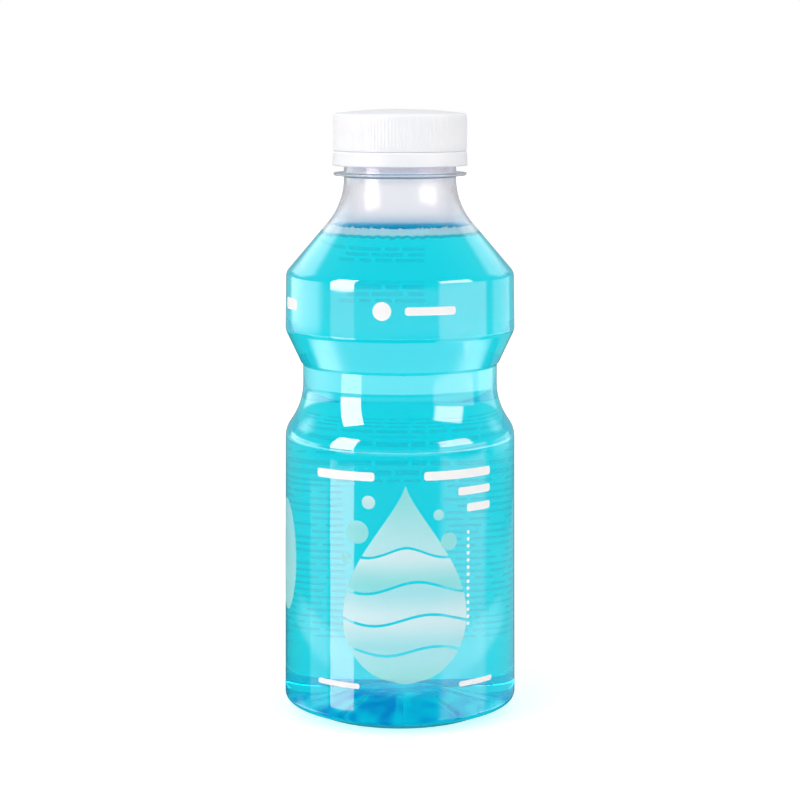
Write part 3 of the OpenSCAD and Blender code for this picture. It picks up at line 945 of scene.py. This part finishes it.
def make_world():
    """White to the eye and through glass. Gloss mirrors a grey room, lighter behind and dark far below."""
    world = bpy.data.worlds.new("white_studio")
    bpy.context.scene.world = world
    world.use_nodes = True
    tree = world.node_tree
    around = tree.nodes["Background"]
    seen_white, path, place, split, level = new_nodes(
        tree, "ShaderNodeBackground", "ShaderNodeLightPath", "ShaderNodeTexCoord", "ShaderNodeSeparateXYZ",
        "ShaderNodeMix")
    put(around, {"Color": (1, 1, 1, 1)})
    put(seen_white, {"Color": (1, 1, 1, 1), "Strength": 1.0})
    tree.links.new(place.outputs["Generated"], split.inputs["Vector"])
    behind = map_range(tree, split.outputs["Y"], (-0.3, 0.9), (0.10, 0.35), smooth=True)
    below = map_range(tree, split.outputs["Z"], (-0.20, -0.14), (0.12, 1.0))
    put(level, {"B": 0.66})
    tree.links.new(path.outputs["Is Diffuse Ray"], level.inputs["Factor"])
    tree.links.new(reckon(tree, "MULTIPLY", behind, below), level.inputs["A"])
    tree.links.new(level.outputs["Result"], around.inputs["Strength"])
    seen = reckon(tree, "MAXIMUM", path.outputs["Is Camera Ray"], path.outputs["Is Transmission Ray"])
    show_mixed(tree, seen, around.outputs["Background"], seen_white.outputs["Background"], "World Output")


def soft_box(name, azimuth, elevation, distance, size, power):
    """A soft box that lights the object; azimuth 0 is the camera's side and goes round to the right."""
    lamp = bpy.data.lights.new(name, "AREA")
    lamp.shape = "RECTANGLE"
    lamp.size, lamp.size_y = size
    lamp.energy = power
    box = bpy.data.objects.new(name, lamp)
    a, e = math.radians(azimuth), math.radians(elevation)
    way = Vector((math.sin(a) * math.cos(e), -math.cos(a) * math.cos(e), math.sin(e)))
    box.location = Vector((0, 0, 0.1)) + way * distance
    box.rotation_euler = way.to_track_quat("Z", "Y").to_euler()
    bpy.context.scene.collection.objects.link(box)
    box.visible_camera = box.visible_transmission = box.visible_glossy = False


def glow_finish(name, strength, tone, edges):
    """Light added to what lies behind. It swells and fades along the card's own axes, or by R, its radius."""
    material, tree, shader = new_material(name)
    tree.nodes.remove(shader)
    glow, clear, both = new_nodes(
        tree, "ShaderNodeEmission", "ShaderNodeBsdfTransparent", "ShaderNodeAddShader")
    place, axes = own_place(tree)
    put(glow, {"Color": (*tone, 1)})
    level = strength
    for axis, rise0, rise1, fall0, fall1 in edges:
        if axis == "R":
            flat = tree.nodes.new("ShaderNodeVectorMath")
            flat.operation = "MULTIPLY"
            flat.inputs[1].default_value = (1, 1, 0)
            tree.links.new(place, flat.inputs[0])
            measure = length_of(tree, flat.outputs["Vector"])
        else:
            measure = axes[axis]
        for span, ends in (((rise0, rise1), (0.0, 1.0)), ((fall0, fall1), (1.0, 0.0))):
            level = reckon(tree, "MULTIPLY", map_range(tree, measure, span, ends, smooth=True), level)
    tree.links.new(level, glow.inputs["Strength"])
    tree.links.new(glow.outputs["Emission"], both.inputs[0])
    tree.links.new(clear.outputs["BSDF"], both.inputs[1])
    tree.links.new(both.outputs["Shader"], tree.nodes["Material Output"].inputs["Surface"])
    return material


def only_in_gloss(piece):
    piece.visible_camera = piece.visible_diffuse = piece.visible_transmission = piece.visible_shadow = False


def glow_panel(name, azimuths, heights, distance, strength, soft, fade, tone):
    """A panel that only shines in gloss: what the polished wall mirrors of a soft box."""
    low, high = heights
    middle = math.radians((azimuths[0] + azimuths[1]) / 2)
    width = 2 * distance * math.tan(math.radians(azimuths[1] - azimuths[0]) / 2)
    place = (math.sin(middle) * distance, -math.cos(middle) * distance, (low + high) / 2)
    half_w, half_h = width / 2, (high - low) / 2
    edges = (("X", -half_w, -half_w * (1 - soft), half_w * (1 - soft), half_w),
             ("Y", -half_h, -half_h + fade, half_h - fade, half_h))
    finish = glow_finish(name, strength, tone, edges)
    only_in_gloss(stage_plane(name, (width, high - low), place, (math.pi / 2, 0, middle), finish))


def glow_ring(name, near, far, strength, edge, back, place=(0, 0, 0)):
    """A soft-edged strip round the front, from one radius and height to another, only seen in gloss."""
    mesh = bmesh.new()
    ends = [mesh.verts.new((0, -r, z)) for r, z in (near, far)]
    bmesh.ops.spin(mesh, geom=ends + [mesh.edges.new(ends)], cent=(0, 0, 0), axis=(0, 0, 1),
                   angle=FULL, steps=72, use_merge=True, use_duplicate=False)
    axis, k = ("Z", 1) if near[0] == far[0] else ("R", 0)
    edges = ((axis, near[k], near[k] + edge, far[k] - edge, far[k]), ("Y", *BEFORE_ALL, *back))
    only_in_gloss(stage_piece(name, mesh, glow_finish(name, strength, WHITE, edges), place))


BEFORE_ALL = (-9.0, -8.0)                     # nearer than any card, so that the ring is full in front
WARM = (1.0, 0.6, 0.54)

# Azimuths, heights, distance, strength, soft share of the width, fade of the ends, tone
PANELS = (
    ("left_strip", (-72, -45), (0.079, 0.75), 0.8, 17.0, 0.04, 0.008, WARM),
    ("left_strip_drum", (-72, -45), (0.02, 0.087), 0.8, 1.6, 0.04, 0.008, WARM),
    ("left_strip_waist", (-72, -45), (-0.028, 0.024), 0.8, 6.0, 0.04, 0.008, WARM),
    ("left_strip_in_table", (-72, -45), (-0.226, -0.042), 0.8, 6.2, 0.04, 0.014, WARM),
    ("right_panel_high", (38, 80), (0.24, 0.72), 0.9, 11.0, 0.28, 0.06, WARM),
    ("right_panel_low", (36, 97), (-0.045, 0.26), 0.9, 2.4, 0.2, 0.02, WARM),
    ("right_panel_in_table", (36, 97), (-0.8, -0.045), 0.9, 1.8, 0.35, 0.02, WARM),
    ("left_back_card_high", (-168, -108), (0.28, 0.95), 0.9, 2.0, 0.6, 0.2, WHITE),
    ("right_back_card_high", (112, 168), (0.28, 0.9), 0.9, 1.3, 0.6, 0.2, WHITE),
    ("left_back_card_low", (-145, -78), (0.0, 0.2), 0.9, 2.8, 0.5, 0.05, WHITE),
    ("right_back_card", (100, 145), (-0.08, 0.2), 0.9, 1.0, 0.4, 0.05, WHITE),
    ("left_side_in_table", (-101, -73), (-0.27, -0.06), 0.9, 0.9, 0.3, 0.03, WHITE),
    ("right_back_in_table", (90, 165), (-0.32, -0.11), 0.9, 0.28, 0.2, 0.03, WHITE),
)

table = stage_plane("table", (8, 8), (0, 0, 0), (0, 0, 0), table_finish())
table.visible_glossy = False
make_world()
soft_box("key_soft_box", -50, 35, 1.2, (0.7, 0.9), 4.0)
soft_box("fill_soft_box", 55, 30, 1.3, (0.9, 0.9), 2.7)
soft_box("top_soft_box", 0, 80, 1.2, (1.0, 1.0), 2.1)
for panel in PANELS:
    glow_panel(*panel)
glow_ring("front_card_waist", (0.35, 0.038), (0.35, 0.070), 2.8, 0.008, back=(0.0, 0.34))
glow_ring("front_card_drum", (0.35, 0.082), (0.35, 0.122), 0.6, 0.008, back=(-0.24, 0.02))
glow_ring("table_glow", (0.118, 0.0006), (0.190, 0.0006), 1.4, 0.022, back=(-0.05, 0.04),
          place=(0, 0.045, 0))
CARD_EDGES = (("X", -0.12, -0.01, 0.01, 0.12), ("Y", -0.15, -0.05, 0.05, 0.15))
for name, x, strength in (("table_card_left", -0.27, 2.8), ("table_card_right", 0.27, 2.0)):
    finish = glow_finish(name, strength, WHITE, CARD_EDGES)
    only_in_gloss(stage_plane(name, (0.24, 0.3), (x, 0.06, -0.1), (0, 0, 0), finish))

CAMERA_DIP = 8.225                            # degrees below level
camera = bpy.data.cameras.new("camera")
camera.lens = 99
camera.sensor_width = 36
view = bpy.data.objects.new("camera", camera)
view.location = (0.0, -0.6577, 0.1895)
view.rotation_euler = (math.radians(90 - CAMERA_DIP), 0, 0)
bpy.context.scene.collection.objects.link(view)
bpy.context.scene.camera = view
bpy.context.scene.view_settings.view_transform = "Standard"
cycles = bpy.context.scene.cycles
cycles.max_bounces = 32
cycles.transmission_bounces = 32
cycles.glossy_bounces = 16
cycles.transparent_max_bounces = 32
